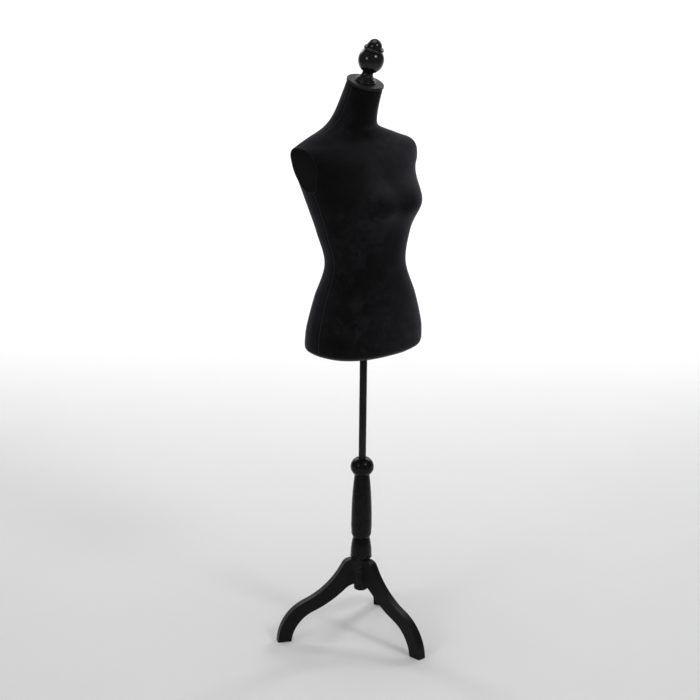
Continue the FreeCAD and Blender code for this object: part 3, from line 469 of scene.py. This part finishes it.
def velvet(name, dark, light, seam_sheen=False):
    """Black velvet: nap that lies in brushed patches, with a soft sheen where it faces away."""
    material, tree, shader = new_material(
        name,
        specular_ior_level=0.07,
        sheen_weight=0.26,
        sheen_roughness=0.4,
        sheen_tint=(0.66, 0.63, 0.76, 1),
    )
    place = object_place(tree)
    hanging = object_place(tree, HANGING)
    brushed = noise(tree, place, 6.5, detail=4, roughness=0.55, distortion=0.6)
    patches = noise(tree, place, 34, detail=5, roughness=0.6, distortion=0.9)
    nap = noise(tree, hanging, 1300, detail=4, roughness=0.7)
    pile = noise(tree, hanging, 3800, detail=2, roughness=0.6)
    clouds = both(tree, spread(tree, brushed, 0.4, 0.6), spread(tree, patches, 0.35, 0.65))
    colour = blended(tree, clouds, grey(dark, NAP_TINT), grey(light, LIT_NAP_TINT))
    flecks = spread(tree, nap, 0.62, 0.8, end=0.35)
    colour = blended(tree, flecks, colour, grey(light * 1.5))
    # Painted sheen: the velvet's colour is made lighter along its seams.
    if seam_sheen:
        seam = add(tree, "Attribute", attribute_name="seam").outputs["Fac"]
        colour = blended(tree, spread(tree, seam, 0, 1, end=0.3), colour, grey(light * 1.8))
    tree.links.new(colour, shader.inputs["Base Color"])
    roughness = spread(tree, patches, 0.3, 0.7, start=0.85, end=1.0)
    tree.links.new(roughness, shader.inputs["Roughness"])
    lay = bump(tree, patches, distance=0.0012, strength=0.5)
    lay = bump(tree, nap, distance=0.0005, strength=0.55, below=lay)
    lay = bump(tree, pile, distance=0.0002, strength=0.5, below=lay)
    tree.links.new(lay, shader.inputs["Normal"])
    return material


def lacquer(name, grain, colour, dull, shine, coat, grain_depth=0.00012, turn=0.0):
    """Black lacquered wood: filled grain under the film, orange peel, worn and dusty edges."""
    material, tree, shader = new_material(
        name, specular_ior_level=0.11, coat_weight=coat, coat_roughness=0.09
    )
    place = object_place(tree)
    along = object_place(tree, grain, turn)
    fibres = noise(tree, along, 420, detail=5, roughness=0.62, distortion=0.3)
    streaks = noise(tree, along, 90, distortion=0.5)
    peel = noise(tree, place, 620, detail=2, roughness=0.4)
    smears = noise(tree, place, 26, detail=4, roughness=0.6, distortion=1.0)
    edges = add(tree, "NewGeometry").outputs["Pointiness"]
    worn = both(tree, spread(tree, edges, 0.52, 0.58), spread(tree, smears, 0.4, 0.62))
    streaky = spread(tree, streaks, 0.3, 0.75)
    body = blended(tree, streaky, grey(colour), grey(colour * 2.1, STREAK_TINT))
    dusty = blended(tree, spread(tree, worn, 0, 1, end=0.5), body, grey(colour * 6))
    tree.links.new(dusty, shader.inputs["Base Color"])
    roughness = spread(tree, smears, 0.3, 0.7, start=shine, end=dull)
    tree.links.new(roughness, shader.inputs["Roughness"])
    relief = bump(tree, fibres, distance=grain_depth, strength=0.7)
    relief = bump(tree, peel, distance=0.00006, strength=0.5, below=relief)
    tree.links.new(relief, shader.inputs["Normal"])
    return material


def coated_steel(name):
    """Satin black powder-coated tube with fine draw lines and rubbed patches."""
    material, tree, shader = new_material(name, specular_ior_level=0.16)
    drawn = noise(tree, object_place(tree, ALONG_TUBE), 900, detail=4, roughness=0.6)
    fine = noise(tree, object_place(tree), 1500, roughness=0.6)
    rubbed = noise(
        tree, object_place(tree, RUBBED_DOWN), 40, detail=4, roughness=0.6, distortion=0.5
    )
    colour = blended(tree, spread(tree, rubbed, 0.45, 0.7), grey(0.008), grey(0.02))
    tree.links.new(colour, shader.inputs["Base Color"])
    roughness = spread(tree, rubbed, 0.3, 0.7, start=0.42, end=0.27)
    tree.links.new(roughness, shader.inputs["Roughness"])
    relief = bump(tree, drawn, distance=0.00004, strength=0.6)
    relief = bump(tree, fine, distance=0.00005, strength=0.6, below=relief)
    tree.links.new(relief, shader.inputs["Normal"])
    return material


def metal(name, colour, roughness):
    """Plated metal with fine turning marks and a patchy polish."""
    material, tree, shader = new_material(name, metallic=1.0)
    place = object_place(tree)
    patchy = noise(tree, place, 140, detail=4, roughness=0.6)
    marks = noise(tree, place, 2600, detail=2)
    tone = blended(tree, spread(tree, patchy, 0.35, 0.7), shade(colour), shade(colour, 0.7))
    tree.links.new(tone, shader.inputs["Base Color"])
    polish = spread(tree, patchy, 0.3, 0.7, start=roughness, end=roughness + 0.16)
    tree.links.new(polish, shader.inputs["Roughness"])
    tree.links.new(bump(tree, marks, distance=0.00003, strength=0.5), shader.inputs["Normal"])
    return material


def moulded(name, colour, roughness):
    """Moulded plastic with a faint stipple."""
    material, tree, shader = new_material(name, specular_ior_level=0.45)
    place = object_place(tree)
    stipple = noise(tree, place, 1900, roughness=0.6)
    cloudy = noise(tree, place, 60)
    tone = blended(tree, spread(tree, cloudy, 0.35, 0.7), shade(colour), shade(colour, 1.6))
    tree.links.new(tone, shader.inputs["Base Color"])
    polish = spread(tree, cloudy, 0.3, 0.7, start=roughness, end=roughness + 0.12)
    tree.links.new(polish, shader.inputs["Roughness"])
    tree.links.new(bump(tree, stipple, distance=0.00006, strength=0.6), shader.inputs["Normal"])
    return material


def board(name, colour):
    """Bare or stained wood with its grain along X."""
    material, tree, shader = new_material(name, specular_ior_level=0.3)
    along = object_place(tree, ALONG_BOARD)
    fibres = noise(tree, along, 480, detail=5, roughness=0.65, distortion=0.4)
    figure = noise(tree, along, 60, distortion=1.2)
    tone = blended(tree, spread(tree, figure, 0.3, 0.7), shade(colour), shade(colour, 0.62))
    tree.links.new(tone, shader.inputs["Base Color"])
    roughness = spread(tree, fibres, 0.3, 0.7, start=0.62, end=0.8)
    tree.links.new(roughness, shader.inputs["Roughness"])
    tree.links.new(bump(tree, fibres, distance=0.0002, strength=0.7), shader.inputs["Normal"])
    return material


def dress(names, material):
    """Gives CAD nodes or pieces a material in place of their own."""
    for name in names:
        piece = nodes.get(name) or bpy.data.objects[name]
        piece.data.materials.clear()
        piece.data.materials.append(material)


# Stage, lights and camera, in metres; the lens is in millimetres.

CAMERA_DISTANCE = 4.35
CAMERA_HEIGHT = 1.98
CAMERA_AZIMUTH = math.radians(-45)
CAMERA_PITCH = math.radians(15.07)
CAMERA_LEFT = 0.036
CAMERA_ROLL = math.radians(0.6)
CAMERA_LENS = 87.7
CAMERA_REACH = 60

STAGE_WIDTH = 22.0
STAGE_NEAR = 9.0
STAGE_FAR = 7.2
STAGE_HEIGHT = 7.0
STAGE_BEND = 2.4
STAGE_BEND_STEPS = 24
SUBJECT_HEIGHT = 1.1
WORLD_STRENGTH = 0.2

# Each light's name, its place ahead, right and up from what it points at, its size, and its watts.
SUBJECT_LIGHTS = (
    ("key", -2.0, 2.0, 1.9, 0.9, 26),
    ("fill", -2.6, -2.2, 1.2, 1.0, 17),
    ("top", -0.2, 0.0, 2.9, 2.4, 32),
)
WALL_LIGHTS = (
    ("wall_left", -3.2, -3.4, 3.2, 2.4, 190),
    ("wall_right", -3.2, 3.4, 3.2, 2.4, 190),
)


def make_camera():
    """The camera in front of the torso's right side, looking a little down."""
    facing = Vector((-math.sin(CAMERA_AZIMUTH), math.cos(CAMERA_AZIMUTH), 0))
    right = facing.cross(Vector((0, 0, 1)))
    forward = facing * math.cos(CAMERA_PITCH) - Vector((0, 0, math.sin(CAMERA_PITCH)))
    camera = bpy.data.objects.new("camera", bpy.data.cameras.new("camera"))
    bpy.context.scene.collection.objects.link(camera)
    camera.data.lens = CAMERA_LENS
    camera.data.clip_end = CAMERA_REACH
    axis_point = Vector((AXIS.x, AXIS.y, CAMERA_HEIGHT))
    camera.location = axis_point - facing * CAMERA_DISTANCE - right * CAMERA_LEFT
    level = forward.to_track_quat("-Z", "Y").to_matrix()
    camera.rotation_euler = (level @ Matrix.Rotation(CAMERA_ROLL, 3, "Z")).to_euler()
    bpy.context.scene.camera = camera
    return facing, right


def area_light(name, place, aim, size, power):
    """A round soft light at a place, pointing at another."""
    lamp = bpy.data.lights.new(name, "AREA")
    lamp.shape = "DISK"
    lamp.size = size
    lamp.energy = power
    light = bpy.data.objects.new(name, lamp)
    bpy.context.scene.collection.objects.link(light)
    light.location = place
    light.rotation_euler = (aim - place).to_track_quat("-Z", "Y").to_euler()


def make_sweep(facing, right):
    """A pale floor that curves up into a pale wall."""
    profile = [(-STAGE_NEAR, 0.0), (STAGE_FAR - STAGE_BEND, 0.0)]
    for step in range(1, STAGE_BEND_STEPS + 1):
        turn = math.pi / 2 * step / STAGE_BEND_STEPS
        reach = STAGE_FAR - STAGE_BEND + STAGE_BEND * math.sin(turn)
        profile.append((reach, STAGE_BEND - STAGE_BEND * math.cos(turn)))
    profile.append((STAGE_FAR, STAGE_HEIGHT))
    corners = []
    for reach, rise in profile:
        for side in (-1, 1):
            foot = Vector((AXIS.x, AXIS.y, 0)) + facing * reach + right * side * STAGE_WIDTH / 2
            corners.append((foot.x, foot.y, rise))
    sweep = mesh_object("studio_sweep", corners, grid_faces(len(profile), 2))
    material, tree, shader = new_material("pale_paper", roughness=0.9, specular_ior_level=0.1)
    mottle = noise(tree, object_place(tree), 3, detail=2)
    tree.links.new(blended(tree, mottle, grey(0.86), grey(0.88)), shader.inputs["Base Color"])
    sweep.data.materials.append(material)


def light_stage(facing, right):
    """Soft studio lights on the object and on the wall behind it, and a faint even fill."""
    subject = Vector((AXIS.x, AXIS.y, SUBJECT_HEIGHT))
    wall = subject + facing * STAGE_FAR
    up = Vector((0, 0, 1))
    for aim, lights in ((subject, SUBJECT_LIGHTS), (wall, WALL_LIGHTS)):
        for name, ahead, aside, above, width, power in lights:
            place = aim + facing * ahead + right * aside + up * above
            area_light(name, place, aim, width, power)
    world = bpy.data.worlds.new("studio")
    bpy.context.scene.world = world
    world.use_nodes = True
    world.node_tree.nodes["Background"].inputs[0].default_value = grey(1.0)
    world.node_tree.nodes["Background"].inputs[1].default_value = WORLD_STRENGTH


front = velvet_panel("velvet_front_cloth", "velvet_front", math.pi)
back = velvet_panel("velvet_back_cloth", "velvet_back", 0.0)
for panel, start in ((front, math.pi), (back, 0.0)):
    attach(panel, "torso")
    declare_cloth(start)
arm_plate(1, "left")
arm_plate(-1, "right")

dress(
    ["velvet_front_cloth", "velvet_back_cloth"],
    velvet("black_velvet", dark=0.0034, light=0.0118, seam_sheen=True),
)
dress(
    # The piping's velvet is a lighter copy, a painted sheen on the raised rim; the pad's darker
    # copy is painted shade.
    ["arm_piping_left", "arm_piping_right"],
    velvet("lit_piping_velvet", dark=0.0045, light=0.013),
)
dress(
    ["arm_pad_left", "arm_pad_right"],
    velvet("shaded_velvet", dark=0.0025, light=0.007),
)
dress(["finial"], lacquer(
    "finial_lacquer", UPRIGHT, colour=0.004, dull=0.24, shine=0.16, coat=0.42, grain_depth=0.00003,
))
dress(["neck_moulding"], lacquer(
    "moulding_lacquer", UPRIGHT, colour=0.006, dull=0.3, shine=0.2, coat=0.35, grain_depth=0.00004,
))
dress(["neck_cap"], lacquer(
    "cap_lacquer", LYING, colour=0.0075, dull=0.42, shine=0.3, coat=0.15, grain_depth=0.00006,
))
dress(["column", "hub"], lacquer(
    "column_lacquer", UPRIGHT, colour=0.0028, dull=0.34, shine=0.2, coat=0.06,
))
for leg, turn in (("leg_front", 0), ("leg_left", 120), ("leg_right", -120)):
    dress([leg], lacquer(
        leg + "_lacquer", LYING, colour=0.0034, dull=0.46, shine=0.3, coat=0.04,
        turn=math.radians(turn),
    ))
dress(["pole", "socket_tube"], coated_steel("satin_black_steel"))
dress(["leg_bolts"], coated_steel("black_bolt_steel"))
dress(["clamp_knob"], moulded("knob_plastic", (0.008, 0.008, 0.008), roughness=0.38))
dress(["torso_shell"], moulded("shell_plastic", (0.03, 0.03, 0.03), roughness=0.6))
dress(
    ["guide_sleeve", "clamp_pad", "pole_top_plug", "pole_bottom_plug", "thrust_pad"],
    moulded("nylon", (0.02, 0.02, 0.02), roughness=0.5),
)
dress(
    ["clamp_screw", "hub_stud", "leg_barrel_nuts", "finial_stud", "cap_screws", "flange_screws"],
    metal("zinc_plate", (0.55, 0.55, 0.53), roughness=0.3),
)
dress(["clamp_insert"], metal("brass", (0.72, 0.5, 0.2), roughness=0.3))
dress(["leg_dowels", "neck_plug"], board("bare_beech", (0.5, 0.34, 0.2)))
dress(["base_board"], board("black_board", (0.012, 0.011, 0.011)))

facing, right = make_camera()
make_sweep(facing, right)
light_stage(facing, right)
bpy.context.scene.view_settings.view_transform = "Standard"
